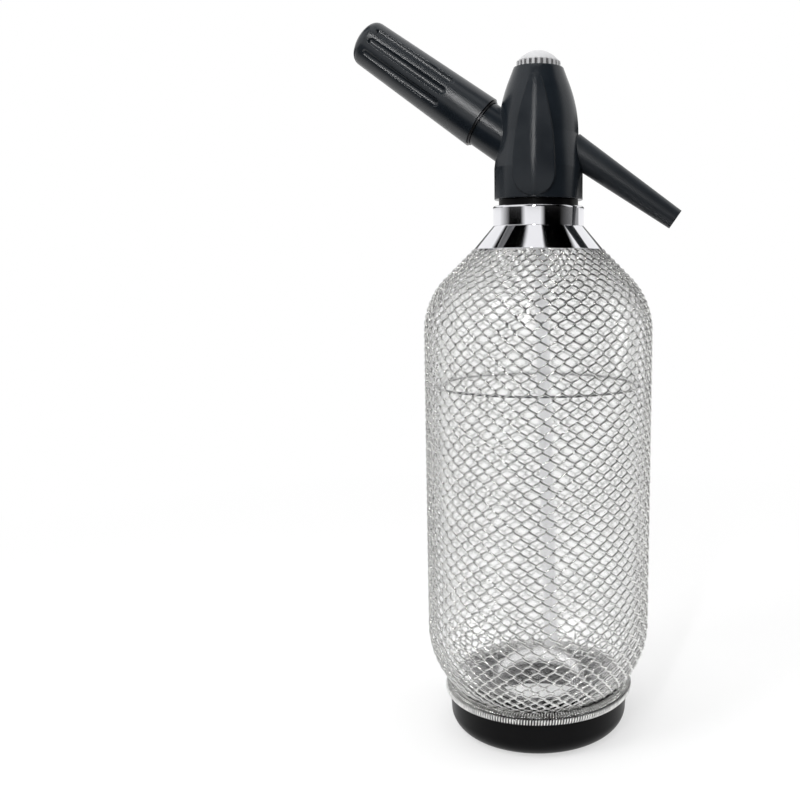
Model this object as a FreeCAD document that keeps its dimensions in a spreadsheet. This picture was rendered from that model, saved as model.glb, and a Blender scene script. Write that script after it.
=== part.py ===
"""Soda siphon with a wire-mesh covered glass bottle, a screw-on head with a push button,
a slanting spout and a screw-on holder for one gas charger.

Millimetres.  +Z is up, the origin is the centre of the base's underside on the bottle's axis,
the spout points to +X, the charger holder to -X, and the leaf panels of the head face -Y and +Y.
"""
import FreeCAD, Part
import math
import os

import Sketcher

Vector = FreeCAD.Vector
DOC = FreeCAD.newDocument("SodaSiphon")
SHEET = DOC.addObject("Spreadsheet::Sheet", "dim")

# Driving dimensions: name, value in millimetres or degrees, meaning.
SIZES = [
    # gaps between pieces
    ("fit_gap", 0.05, "radial gap of pieces that are pressed or seated together"),
    ("axial_gap", 0.05, "gap between flat faces of pieces that part"),
    ("thread_gap", 0.3, "radial gap where one thread turns in another"),
    # base cup and cushion
    ("base_rim_inset", 8.0, "rim of the base inside the glass's outside"),
    ("base_rim_height", 16.6, "top of the rim above the table"),
    ("base_rim_step", 0.5, "rim of the base beyond its side"),
    ("base_corner", 9.0, "rounding of the foot"),
    ("base_wall", 2.6, "wall of the base"),
    ("base_seat_recess", 2.3, "depth of the seat below the rim"),
    ("cushion_thickness", 1.6, "soft ring under the bottle"),
    ("cushion_width", 8.74, "soft ring under the bottle, from its bore to its edge"),
    # glass bottle
    ("glass_radius", 50.4, "outside of the glass"),
    ("glass_wall", 4.5, "wall of the glass"),
    ("heel_radius", 36.0, "rounding of the heel"),
    ("heel_sweep", 70.8, "angle of the heel's rounding"),
    ("side_length", 138.1, "straight side of the bottle"),
    ("shoulder_radius", 33.0, "rounding of the shoulder"),
    ("shoulder_slope", 45.0, "slope of the shoulder cone from the vertical"),
    ("neck_radius", 14.5, "outside of the glass neck"),
    ("neck_bore_radius", 10.3, "bore of the neck"),
    ("neck_fillet", 8.0, "rounding between shoulder and neck"),
    ("neck_height", 18.4, "lip above the foot of the neck"),
    ("neck_thread_radius", 15.5, "crest of the thread on the neck"),
    ("neck_thread_length", 5.0, "length of the thread on the neck"),
    ("lip_length", 1.6, "plain lip above the thread"),
    ("foot_width", 4.24, "rim that the bottle stands on, round the hollow"),
    ("punt_height", 14.0, "hollow under the bottle, height"),
    ("punt_wall", 5.0, "glass over the hollow"),
    # wire mesh and garter spring
    ("mesh_gap", 0.3, "gap between glass and mesh"),
    ("mesh_thickness", 1.8, "depth of the woven mesh"),
    ("mesh_sweep", 58.0, "angle over which the mesh wraps the heel"),
    ("mesh_top_radius", 29.9, "outside of the mesh at its upper edge"),
    ("mesh_rib_count", 40, "upright ribs that stand for the sleeve's spirals of wire"),
    ("mesh_rib_width", 2.8, "width of a rib"),
    ("mesh_rib_height", 0.8, "ribs above the skin between them"),
    ("mesh_rib_inset", 0.8, "ribs end outside the sleeve's upper rim by this"),
    ("mesh_rib_setback", 2.0, "ribs end above the sleeve's lower edge by this angle"),
    ("garter_tube_radius", 2.85, "radius of the garter spring's coil"),
    # metal neck ferrule and threaded bush
    ("ferrule_rise", 6.8, "top of the ferrule above the foot of the neck"),
    ("ferrule_band_radius", 20.6, "outside of the ferrule's upright band"),
    ("ferrule_band_height", 9.0, "height of the upright band"),
    ("ferrule_cone_height", 10.2, "height of the cone"),
    ("ferrule_standoff", 2.4, "cone's lower edge beyond the glass"),
    ("ferrule_wall", 0.9, "sheet of the ferrule"),
    ("ferrule_edge", 1.0, "rounding of the ferrule's top edge"),
    ("bush_collar_radius", 17.9, "neck bush above the ferrule"),
    ("bush_collar_height", 2.7, "neck bush above the ferrule, height"),
    # riser
    ("lip_gasket_thickness", 1.5, "gasket between lip and riser flange"),
    ("flange_radius", 14.2, "riser flange"),
    ("flange_thickness", 2.5, "riser flange"),
    ("spigot_radius", 10.0, "part of the riser flange inside the neck"),
    ("spigot_length", 11.5, "part of the riser flange inside the neck"),
    ("riser_radius", 3.2, "outside of the riser tube"),
    ("riser_bore_radius", 2.2, "bore of the riser tube"),
    ("riser_floor_gap", 3.5, "foot of the riser above the glass floor"),
    ("riser_tilt", 1.6, "lean of the riser tube"),
    # head
    ("seal_thickness", 2.0, "washer between flange and head"),
    ("seal_bore_radius", 9.2, "bore of that washer"),
    ("head_rest_gap", 0.2, "gap between neck bush and head"),
    ("head_skirt_radius", 19.9, "outside of the head's skirt"),
    ("head_skirt_height", 13.7, "straight part of the skirt"),
    ("head_waist_radius", 17.9, "head above the skirt"),
    ("head_waist_height", 28.7, "where the crown begins"),
    ("head_crown_angle", 21.4, "slope of the crown at its top"),
    ("head_height", 57.3, "whole head"),
    ("head_rim_wall", 1.24, "rim round the button"),
    ("leaf_base_margin", 0.7, "leaf panel above the head's lower edge"),
    ("leaf_half_width", 9.2, "leaf panel"),
    ("leaf_side_radius", 135.0, "long sides of the leaf panel"),
    ("leaf_tip_radius", 3.0, "rounding of the leaf's tip"),
    ("leaf_proud", 0.35, "leaf panel beyond the head at its ends"),
    ("leaf_crest_radius", 115.0, "lengthwise curve of the leaf's crest"),
    ("leaf_crest_slope", 7.0, "slope of the leaf's two faces"),
    ("inlet_radius", 6.0, "chamber under the valve seat"),
    ("seat_thickness", 2.4, "valve seat"),
    ("seat_height", 6.95, "valve seat above the head's ceiling"),
    ("seat_orifice_radius", 2.6, "hole of the valve seat"),
    ("outlet_radius", 3.9, "chamber above the valve seat"),
    ("gland_radius", 4.5, "bore for the stem's seal and guide"),
    ("gland_depth", 8.2, "depth of that bore under the button's well"),
    ("well_depth", 14.6, "depth of the button's well"),
    ("gland_flange_radius", 7.2, "flange of the stem guide"),
    ("gland_flange_thickness", 1.2, "flange of the stem guide"),
    # button and valve
    ("button_radius", 9.75, "toothed band of the button"),
    ("button_gap", 0.15, "gap round the button in its well"),
    ("button_band_height", 2.7, "toothed band above the head"),
    ("button_skirt_length", 8.0, "skirt of the button in the well"),
    ("button_skirt_step", 0.15, "skirt inside the toothed band"),
    ("button_wall", 1.4, "wall of the skirt"),
    ("button_ceiling", 10.9, "inside of the button above the skirt's edge"),
    ("dome_shelf", 0.45, "flat ledge round the dome"),
    ("dome_height", 4.85, "dome of the button"),
    ("tooth_count", 24, "grooves round the button"),
    ("tooth_radius", 0.65, "radius of a groove"),
    ("tooth_depth", 0.8, "depth of a groove"),
    ("plunger_thickness", 2.0, "disc under the button"),
    ("plunger_boss_radius", 3.4, "boss that holds the stem"),
    ("plunger_boss_length", 5.6, "boss that holds the stem"),
    ("stem_radius", 1.5, "valve stem"),
    ("stem_slide_gap", 0.08, "radial running gap of the stem"),
    ("disc_radius", 4.6, "valve disc"),
    ("disc_thickness", 1.8, "valve disc"),
    ("retainer_radius", 3.0, "washer under the valve disc"),
    ("retainer_thickness", 1.0, "washer under the valve disc"),
    ("stem_tail", 0.8, "stem below that washer"),
    ("stem_seal_tube", 1.2, "section radius of the stem's O-ring"),
    ("spring_radius", 4.9, "mean radius of the return spring"),
    ("spring_wire", 0.9, "wire of the return spring"),
    ("spring_turns", 5, "turns of the return spring"),
    # spout
    ("spout_angle", 34.5, "spout below the horizontal"),
    ("spout_cross", 33.2, "where its axis meets the head's axis, above the skirt's edge"),
    ("spout_reach", 74.6, "tip of the spout from the head's axis"),
    ("spout_root_radius", 6.9, "spout where it leaves the head"),
    ("spout_tip_radius", 4.75, "spout at its tip"),
    ("spout_bore_radius", 2.2, "bore of the spout"),
    ("spout_spigot_radius", 4.4, "spigot in the head"),
    ("spout_socket", 13.6, "floor of the spout's socket from the head's axis"),
    ("spout_seal_thickness", 1.2, "seal ring in that socket"),
    ("spout_flare", 18.0, "start of the spout's cone from the head's axis"),
    # charger holder
    ("holder_angle", 34.8, "holder above the horizontal"),
    ("holder_cross", 16.5, "where its axis meets the head's axis, above the skirt's edge"),
    ("holder_reach", 31.5, "mouth of the holder from the head's axis"),
    ("stub_radius", 10.6, "stub of the head that carries the holder"),
    ("stub_start", 8.0, "root of the stub from the head's axis"),
    ("washer_thickness", 0.9, "washer between stub and holder"),
    ("washer_radius", 11.2, "washer between stub and holder"),
    ("nipple_radius", 10.05, "threaded nipple in the holder's mouth"),
    ("nipple_length", 8.5, "nipple beyond the stub's washer"),
    ("nipple_shank_radius", 8.0, "nipple inside the stub"),
    ("nipple_shank_length", 14.0, "nipple inside the stub"),
    ("nipple_bore_radius", 1.5, "gas hole through nipple and head"),
    ("check_pocket_radius", 3.0, "pocket of the non-return sleeve"),
    ("check_sleeve_length", 4.6, "non-return sleeve"),
    ("check_sleeve_bore", 1.4, "bore of the non-return sleeve"),
    ("pin_radius", 2.6, "foot of the piercing pin"),
    ("pin_foot", 2.5, "thickness of that foot"),
    ("pin_needle_radius", 0.8, "needle of the piercing pin"),
    ("pin_needle_length", 2.8, "needle of the piercing pin"),
    ("pin_bore_radius", 0.4, "gas hole of the pin"),
    ("charger_gasket_thickness", 1.5, "gasket round the needle"),
    ("charger_gasket_bore", 1.3, "gasket round the needle"),
    ("holder_mouth_radius", 12.0, "outside of the holder at its mouth"),
    ("holder_end_radius", 10.35, "outside of the holder where the end cap begins"),
    ("holder_side_length", 61.0, "tapered side of the holder"),
    ("holder_end_corner", 4.0, "rounding of the closed end"),
    ("holder_end_turn", 62.0, "angle of that rounding"),
    ("holder_cap_wall", 2.4, "closed end of the holder"),
    ("insert_wall", 0.9, "threaded metal ring in the holder's mouth"),
    ("insert_length", 9.5, "threaded metal ring in the holder's mouth"),
    ("flute_radius", 2.0, "section radius of a grip flute"),
    ("flute_wall", 0.5, "wall left between a flute and the charger's bore"),
    ("flute_start", 18.1, "near end of the flutes from the mouth"),
    ("flute_end", 60.1, "far end of the flutes from the mouth"),
    ("flute_spacing", 31.0, "angle between flutes"),
    ("flute_group", 3, "flutes on each side"),
    ("flute_turn", -25.0, "first flute from the front, turned about the holder's axis"),
    # gas charger
    ("charger_radius", 9.0, "body of the charger"),
    ("charger_gap", 0.2, "gap round the charger in the holder"),
    ("charger_length", 66.0, "whole charger"),
    ("charger_neck_radius", 4.2, "neck of the charger"),
    ("charger_neck_length", 7.5, "neck of the charger"),
    ("charger_shoulder_length", 7.0, "shoulder of the charger"),
    ("charger_wall", 1.8, "steel of the charger"),
    ("charger_hole_radius", 1.1, "pierced hole in the neck"),
    ("charger_end_gap", 0.2, "gap between charger and holder's closed end"),
]

for row, (alias, value, meaning) in enumerate(SIZES, start=1):
    SHEET.set(f"A{row}", alias)
    SHEET.set(f"B{row}", str(value))
    SHEET.set(f"C{row}", meaning)
    SHEET.setAlias(f"B{row}", alias)
DOC.recompute()

# Heights on the bottle's axis, worked out from the driving dimensions.
SEAT_TOP = "(dim.base_rim_height - dim.base_seat_recess)"
GLASS_FOOT = f"({SEAT_TOP} + dim.cushion_thickness)"
HEEL_TOP = f"({GLASS_FOOT} + dim.heel_radius * sin(dim.heel_sweep))"
SHOULDER_FOOT = f"({HEEL_TOP} + dim.side_length)"
NECK_FOOT = (
    f"({SHOULDER_FOOT} + dim.shoulder_radius * sin(dim.shoulder_slope)"
    " + (dim.glass_radius - dim.shoulder_radius * (1 - cos(dim.shoulder_slope))"
    " - dim.neck_radius) / tan(dim.shoulder_slope))"
)
NECK_BLEND = "(dim.neck_fillet * tan(dim.shoulder_slope / 2))"
LIP = f"({NECK_FOOT} + dim.neck_height)"
HEEL_CENTRE = "(dim.glass_radius - dim.heel_radius)"
FOOT_RADIUS = f"({HEEL_CENTRE} + dim.heel_radius * cos(dim.heel_sweep))"
PUNT_RADIUS = f"({FOOT_RADIUS} - dim.foot_width)"
PUNT_SPHERE = f"(({PUNT_RADIUS} ^ 2 + dim.punt_height ^ 2) / (2 * dim.punt_height))"
PUNT_CENTRE = f"({GLASS_FOOT} + dim.punt_height - {PUNT_SPHERE})"
GLASS_FLOOR = f"({GLASS_FOOT} + dim.punt_height + dim.punt_wall)"
FERRULE_TOP = f"({NECK_FOOT} + dim.ferrule_rise)"
FERRULE_BAND = f"({FERRULE_TOP} - dim.ferrule_band_height)"
FERRULE_FOOT = f"({FERRULE_BAND} - dim.ferrule_cone_height)"
HEAD_BASE = f"({FERRULE_TOP} + dim.bush_collar_height + dim.head_rest_gap)"
HEAD_TOP = f"({HEAD_BASE} + dim.head_height)"
LIP_GASKET = f"({LIP} + dim.axial_gap)"
FLANGE_FOOT = f"({LIP_GASKET} + dim.lip_gasket_thickness)"
FLANGE_TOP = f"({FLANGE_FOOT} + dim.flange_thickness)"
RISER_LENGTH = f"(({FLANGE_FOOT} - {GLASS_FLOOR} - dim.riser_floor_gap) / cos(dim.riser_tilt))"
HEAD_SEAL = f"({FLANGE_TOP} + dim.axial_gap)"
CEILING = f"({HEAD_SEAL} + dim.seal_thickness + dim.axial_gap)"
VALVE_SEAT = f"({CEILING} + dim.seat_height)"
SEAT_SHELF = f"({VALVE_SEAT} + dim.seat_thickness + dim.axial_gap)"
WELL_FLOOR = f"({HEAD_TOP} - dim.well_depth)"
GLAND_FLOOR = f"({WELL_FLOOR} - dim.gland_depth)"
BUTTON_FOOT = f"({HEAD_TOP} + dim.axial_gap - dim.button_skirt_length)"
BUTTON_CEILING = f"({BUTTON_FOOT} + dim.button_ceiling)"
PLUNGER_FOOT = f"({BUTTON_CEILING} - dim.plunger_thickness - dim.plunger_boss_length)"
DISC_FOOT = f"({VALVE_SEAT} - dim.axial_gap - dim.disc_thickness)"
RETAINER_FOOT = f"({DISC_FOOT} - dim.retainer_thickness)"
STEM_FOOT = f"({RETAINER_FOOT} - dim.stem_tail)"
SPRING_FOOT = f"({WELL_FLOOR} + dim.gland_flange_thickness)"
SPRING_HEAD = f"({BUTTON_CEILING} - dim.plunger_thickness)"

# Radii that follow from their neighbours.
SHOULDER_END = "(dim.glass_radius - dim.shoulder_radius * (1 - cos(dim.shoulder_slope)))"
BASE_RIM = "(dim.glass_radius - dim.base_rim_inset)"
BASE_SIDE = f"({BASE_RIM} - dim.base_rim_step)"
SEAT_OPENING = f"({FOOT_RADIUS} - dim.cushion_width)"
BUSH_FLANGE = "(dim.ferrule_band_radius - dim.ferrule_wall - dim.fit_gap)"
THREAD_BORE = "(dim.neck_thread_radius + dim.thread_gap)"
WELL_RADIUS = "(dim.button_radius + dim.button_gap)"
HEAD_TOP_RADIUS = f"({WELL_RADIUS} + dim.head_rim_wall)"
INSERT_BORE = "(dim.nipple_radius + dim.thread_gap)"
CHARGER_BORE = "(dim.charger_radius + dim.charger_gap)"
CHARGER_RECESS = "(dim.charger_neck_radius + dim.thread_gap)"

# Stations along the charger line, measured outwards from the holder's mouth.
CAP_AXIS = "((dim.holder_end_radius - dim.holder_end_corner) / cos(dim.holder_end_turn))"
CAP_RADIUS = f"({CAP_AXIS} + dim.holder_end_corner)"
CAP_CENTRE = f"(dim.holder_side_length - {CAP_AXIS} * sin(dim.holder_end_turn))"


def value_of(expression):
    """The number that an expression of sheet names gives."""
    return float(SHEET.evalExpression(expression))


def origin_plane(body, role):
    return next(plane for plane in body.Origin.OriginFeatures if plane.Role == role)


def origin_axis(body, role):
    return next(axis for axis in body.Origin.OriginFeatures if axis.Role == role)


def new_body(name):
    body = DOC.addObject("PartDesign::Body", name)
    body.Label = name
    return body


def new_sketch(body, name, role):
    sketch = body.newObject("Sketcher::SketchObject", name)
    sketch.AttachmentSupport = (origin_plane(body, role), [""])
    sketch.MapMode = "FlatFace"
    return sketch


def pin(sketch, kind, geometry, point, name, expression):
    """Holds a point of the sketch at an expression's distance from the origin."""
    index = sketch.addConstraint(
        Sketcher.Constraint(kind, -1, 1, geometry, point, value_of(expression))
    )
    sketch.renameConstraint(index, name)
    sketch.setExpression(f"Constraints.{name}", expression)


def draw(sketch, outline):
    """Closed outline of corners (across, up) or (across, up, arc radius, turn).

    The last two describe the edge that leaves the corner: an arc of that radius which
    turns left (1) or right (-1)."""
    spots = [Vector(value_of(corner[0]), value_of(corner[1]), 0) for corner in outline]
    starts = []
    ends = []
    for index, corner in enumerate(outline):
        here = spots[index]
        there = spots[(index + 1) % len(spots)]
        if len(corner) == 2:
            sketch.addGeometry(Part.LineSegment(here, there), False)
            starts.append(1)
            ends.append(2)
            continue
        radius = value_of(corner[2])
        turn = corner[3]
        chord = there - here
        left = Vector(-chord.y, chord.x, 0).normalize()
        rise = math.sqrt(max(radius**2 - (chord.Length / 2) ** 2, 0))
        centre = (here + there) / 2 + left * (rise * turn)
        first, last = (here, there) if turn > 0 else (there, here)
        angles = [math.atan2(spot.y - centre.y, spot.x - centre.x) for spot in (first, last)]
        circle = Part.Circle(centre, Vector(0, 0, 1), radius)
        sketch.addGeometry(Part.ArcOfCircle(circle, angles[0], angles[1]), False)
        starts.append(1 if turn > 0 else 2)
        ends.append(2 if turn > 0 else 1)
    for index, corner in enumerate(outline):
        following = (index + 1) % len(outline)
        sketch.addConstraint(
            Sketcher.Constraint("Coincident", index, ends[index], following, starts[following])
        )
        if corner[0] == "0":
            sketch.addConstraint(Sketcher.Constraint("PointOnObject", index, starts[index], -2))
        else:
            pin(sketch, "DistanceX", index, starts[index], f"across_{index}", corner[0])
        if corner[1] == "0":
            sketch.addConstraint(Sketcher.Constraint("PointOnObject", index, starts[index], -1))
        else:
            pin(sketch, "DistanceY", index, starts[index], f"up_{index}", corner[1])
        if len(corner) > 2:
            number = sketch.addConstraint(
                Sketcher.Constraint("Radius", index, value_of(corner[2]))
            )
            sketch.renameConstraint(number, f"arc_{index}")
            sketch.setExpression(f"Constraints.arc_{index}", corner[2])


def turned(name, outline, height="0"):
    """A body turned about its own Z axis, standing at a height on the bottle's axis."""
    body = new_body(name)
    sketch = new_sketch(body, f"{name}_outline", "XZ_Plane")
    draw(sketch, outline)
    revolution = body.newObject("PartDesign::Revolution", f"{name}_turning")
    revolution.Profile = sketch
    revolution.ReferenceAxis = (sketch, ["V_Axis"])
    revolution.Angle = 360
    sketch.Visibility = False
    if height != "0":
        body.setExpression(".Placement.Base.z", height)
    return body


def ring(name, inner, outer, thickness, height="0"):
    """A flat ring, or a disc where the inner radius is 0."""
    return turned(name, [(inner, "0"), (outer, "0"), (outer, thickness), (inner, thickness)], height)


def rod(name, radius, length, height="0"):
    """A plain cylinder, used as a tool or as part of a piece."""
    cylinder = DOC.addObject("Part::Cylinder", name)
    cylinder.setExpression("Radius", radius)
    cylinder.setExpression("Height", length)
    if height != "0":
        cylinder.setExpression(".Placement.Base.z", height)
    return cylinder


def ball(name, radius, height):
    sphere = DOC.addObject("Part::Sphere", name)
    sphere.setExpression("Radius", radius)
    sphere.setExpression(".Placement.Base.z", height)
    return sphere


def joined(name, shapes):
    fuse = DOC.addObject("Part::MultiFuse", name)
    fuse.Shapes = shapes
    fuse.Refine = True
    return fuse


def cut(name, base, tool):
    result = DOC.addObject("Part::Cut", name)
    result.Base = base
    result.Tool = tool
    result.Refine = True
    return result


def along_holder(piece, station, turn="0", further=""):
    """Lays a piece along the charger line, its own Z pointing outwards from the head."""
    reach = f"(dim.holder_reach + {station})"
    piece.setExpression(
        "Placement",
        f"placement(vector(-{reach} * cos(dim.holder_angle); 0;"
        f" {HEAD_BASE} + dim.holder_cross + {reach} * sin(dim.holder_angle));"
        " rotation(vector(0; 1; 0); dim.holder_angle - 90)"
        f" * rotation(vector(0; 0; 1); {turn})){further}",
    )
    return piece


def along_spout(piece, station):
    """Lays a piece along the spout's axis, its own Z pointing outwards from the head."""
    piece.setExpression(
        "Placement",
        f"placement(vector({station} * cos(dim.spout_angle); 0;"
        f" {HEAD_BASE} + dim.spout_cross - {station} * sin(dim.spout_angle));"
        " rotation(vector(0; 1; 0); 90 + dim.spout_angle))",
    )
    return piece


def make_base():
    """Cup with a rounded foot, a seat for the bottle and a hole under the bottle's hollow."""
    inner_side = f"({BASE_SIDE} - dim.base_wall)"
    foot_centre = f"({BASE_SIDE} - dim.base_corner)"
    seat_under = f"({SEAT_TOP} - dim.base_wall)"
    cup = turned("base_cup", [
        (f"{foot_centre} - dim.base_wall", "0"),
        (foot_centre, "0", "dim.base_corner", 1),
        (BASE_SIDE, "dim.base_corner"),
        (BASE_RIM, "dim.base_rim_height"),
        (f"{BASE_RIM} - dim.base_wall", "dim.base_rim_height"),
        (f"{BASE_RIM} - dim.base_wall", SEAT_TOP),
        (SEAT_OPENING, SEAT_TOP),
        (SEAT_OPENING, seat_under),
        (inner_side, seat_under),
        (inner_side, "dim.base_corner", "dim.base_corner - dim.base_wall", -1),
        (foot_centre, "dim.base_wall"),
        (f"{foot_centre} - dim.base_wall", "dim.base_wall"),
    ])
    cushion = ring(
        "bottle_cushion", SEAT_OPENING, FOOT_RADIUS, "dim.cushion_thickness", SEAT_TOP
    )
    return [cup, cushion]


def wall_outline(offset, sweep):
    """Corners of the bottle's wall at an offset from the glass, from heel to shoulder cone.

    Heights are above the top of the heel."""
    reach = f"(dim.heel_radius + {offset})"
    turn = f"(dim.shoulder_radius + {offset})"
    end = f"(dim.glass_radius - dim.shoulder_radius + {turn} * cos(dim.shoulder_slope))"
    top = f"(dim.side_length + {turn} * sin(dim.shoulder_slope))"
    heel = [f"{HEEL_CENTRE} + {reach} * cos({sweep})", f"-{reach} * sin({sweep})", reach, 1]
    side = [f"dim.glass_radius + {offset}", "0"]
    shoulder = [f"dim.glass_radius + {offset}", "dim.side_length", turn, 1]
    return heel, side, shoulder, end, top


def make_bottle():
    """Thick glass bottle with a rounded heel, a hollow underneath and a threaded neck."""
    heel, side, shoulder, end, top = wall_outline("0", "dim.heel_sweep")
    neck_foot = f"({NECK_FOOT} - {HEEL_TOP})"
    lip = f"({LIP} - {HEEL_TOP})"
    blend_across = f"dim.neck_radius + {NECK_BLEND} * sin(dim.shoulder_slope)"
    blend_up = f"{neck_foot} - {NECK_BLEND} * cos(dim.shoulder_slope)"
    thread_top = f"({lip} - dim.lip_length)"
    thread_foot = f"({thread_top} - dim.neck_thread_length)"
    chamfer = "(dim.neck_thread_radius - dim.neck_radius)"
    blank = turned("bottle_blank", [
        ("0", heel[1]),
        heel,
        side,
        shoulder,
        (end, top),
        (blend_across, blend_up, "dim.neck_fillet", -1),
        ("dim.neck_radius", f"{neck_foot} + {NECK_BLEND}"),
        ("dim.neck_radius", f"{thread_foot} - {chamfer}"),
        ("dim.neck_thread_radius", thread_foot),
        ("dim.neck_thread_radius", thread_top),
        ("dim.neck_radius", f"{thread_top} + {chamfer}"),
        ("dim.neck_radius", lip),
        ("0", lip),
    ], HEEL_TOP)
    heel, side, shoulder, end, top = wall_outline("(-dim.glass_wall)", "dim.heel_sweep")
    bore_foot = f"{top} + ({end} - dim.neck_bore_radius) / tan(dim.shoulder_slope)"
    over = f"{lip} + dim.lip_length"
    room = turned("bottle_room", [
        ("0", heel[1]),
        heel,
        side,
        shoulder,
        (end, top),
        ("dim.neck_bore_radius", bore_foot),
        ("dim.neck_bore_radius", over),
        ("0", over),
    ], HEEL_TOP)
    punt_floor = ball("punt_floor", f"{PUNT_SPHERE} + dim.punt_wall", PUNT_CENTRE)
    punt_hollow = ball("punt_hollow", PUNT_SPHERE, PUNT_CENTRE)
    hollow = cut("bottle_hollow", room, punt_floor)
    shell = cut("bottle_shell", blank, hollow)
    return [cut("glass_bottle", shell, punt_hollow)]


def wall_layer(low, high, sweep, rim):
    """Outline of a layer over the glass between two offsets, up to a radius of its outside."""
    heel, side, shoulder, end, top = wall_outline(high, sweep)
    rim_up = f"{top} + ({end} - {rim}) / tan(dim.shoulder_slope)"
    corners = [heel, side, shoulder, (end, top), (rim, rim_up)]
    heel, side, shoulder, end, top = wall_outline(low, sweep)
    return corners + [
        (
            f"{rim} - ({high} - {low}) * cos(dim.shoulder_slope)",
            f"{rim_up} - ({high} - {low}) * sin(dim.shoulder_slope)",
        ),
        (end, top, shoulder[2], -1),
        (side[0], "dim.side_length"),
        (side[0], side[1], heel[2], -1),
        (heel[0], heel[1]),
    ]


def make_mesh():
    """Sleeve of woven wire round the bottle and the garter spring that gathers it.

    The sleeve is a closed skin with upright ribs."""
    outside = "(dim.mesh_gap + dim.mesh_thickness)"
    skin = f"({outside} - dim.mesh_rib_height)"
    rim = "(dim.mesh_top_radius - dim.mesh_rib_height * cos(dim.shoulder_slope))"
    mesh = turned(
        "mesh_sleeve", wall_layer("dim.mesh_gap", skin, "dim.mesh_sweep", rim), HEEL_TOP
    )
    rib_sketch = new_sketch(mesh, "rib_outline", "XZ_Plane")
    draw(rib_sketch, wall_layer(
        f"((dim.mesh_gap + {skin}) / 2)",
        outside,
        "(dim.mesh_sweep - dim.mesh_rib_setback)",
        "(dim.mesh_top_radius + dim.mesh_rib_inset)",
    ))
    DOC.recompute()
    rib = mesh.newObject("PartDesign::Pad", "rib")
    rib.Profile = rib_sketch
    rib.Midplane = True
    rib.setExpression("Length", "dim.mesh_rib_width")
    DOC.recompute()
    ribs = mesh.newObject("PartDesign::PolarPattern", "ribs")
    ribs.Originals = [rib]
    ribs.Axis = (origin_axis(mesh, "Z_Axis"), [""])
    ribs.Angle = 360
    ribs.setExpression("Occurrences", "dim.mesh_rib_count")
    mesh.Tip = ribs
    up = "(dim.base_rim_height + dim.garter_tube_radius + dim.axial_gap)"
    reach = f"(dim.heel_radius + {outside} + dim.garter_tube_radius + dim.axial_gap)"
    garter = DOC.addObject("Part::Torus", "garter_spring")
    garter.setExpression("Radius1", f"{HEEL_CENTRE} + sqrt({reach} ^ 2 - ({HEEL_TOP} - {up}) ^ 2)")
    garter.setExpression("Radius2", "dim.garter_tube_radius")
    garter.setExpression(".Placement.Base.z", up)
    return [mesh, garter]


def make_ferrule():
    """Polished collar over the shoulder and the threaded bush on the glass neck inside it."""
    cone = "dim.ferrule_cone_height"
    total = "(dim.ferrule_cone_height + dim.ferrule_band_height)"
    foot = (
        f"(dim.neck_radius + ({NECK_FOOT} - {FERRULE_FOOT}) * tan(dim.shoulder_slope)"
        " + dim.ferrule_standoff)"
    )
    mouth = "(dim.bush_collar_radius + dim.fit_gap)"
    ferrule = turned("neck_ferrule", [
        (f"{foot} - dim.ferrule_wall", "0"),
        (foot, "0"),
        ("dim.ferrule_band_radius", cone),
        ("dim.ferrule_band_radius", f"{total} - dim.ferrule_edge", "dim.ferrule_edge", 1),
        ("dim.ferrule_band_radius - dim.ferrule_edge", total),
        (mouth, total),
        (mouth, f"{total} - dim.ferrule_wall"),
        ("dim.ferrule_band_radius - dim.ferrule_wall", f"{total} - dim.ferrule_wall"),
        ("dim.ferrule_band_radius - dim.ferrule_wall", cone),
    ], FERRULE_FOOT)
    bush_foot = f"({NECK_FOOT} + {NECK_BLEND} + dim.fit_gap)"
    bore = "(dim.neck_radius + dim.fit_gap)"
    shelf = f"({FERRULE_TOP} - dim.ferrule_wall - dim.fit_gap - {bush_foot})"
    top = f"({FERRULE_TOP} + dim.bush_collar_height - {bush_foot})"
    bush = turned("neck_bush", [
        (bore, "0"),
        (BUSH_FLANGE, "0"),
        (BUSH_FLANGE, shelf),
        ("dim.bush_collar_radius", shelf),
        ("dim.bush_collar_radius", top),
        (bore, top),
    ], bush_foot)
    return [ferrule, bush]


def lean_riser(piece):
    """Stands a piece on the leaning riser's line, its own Z up along the tube."""
    piece.setExpression(
        "Placement",
        f"placement(vector({RISER_LENGTH} * sin(dim.riser_tilt); 0;"
        f" {FLANGE_FOOT} - {RISER_LENGTH} * cos(dim.riser_tilt));"
        " rotation(vector(0; 1; 0); -dim.riser_tilt))",
    )
    return piece


def make_riser():
    """Tube that carries the water up, its flange on the lip, and the gasket between them."""
    gasket = ring(
        "lip_gasket",
        "dim.spigot_radius + dim.fit_gap",
        "dim.flange_radius",
        "dim.lip_gasket_thickness",
        LIP_GASKET,
    )
    total = "(dim.spigot_length + dim.flange_thickness)"
    blank = turned("flange_blank", [
        ("dim.riser_bore_radius", "0"),
        ("dim.spigot_radius", "0"),
        ("dim.spigot_radius", "dim.spigot_length"),
        ("dim.flange_radius", "dim.spigot_length"),
        ("dim.flange_radius", total),
        ("dim.riser_bore_radius", total),
    ], f"{FLANGE_FOOT} - dim.spigot_length")
    socket = lean_riser(rod("riser_socket_tool", "dim.riser_radius + dim.fit_gap", RISER_LENGTH))
    flange = cut("riser_flange", blank, socket)
    tube = lean_riser(
        ring("riser_tube", "dim.riser_bore_radius", "dim.riser_radius", RISER_LENGTH)
    )
    return [gasket, flange, tube]


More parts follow.
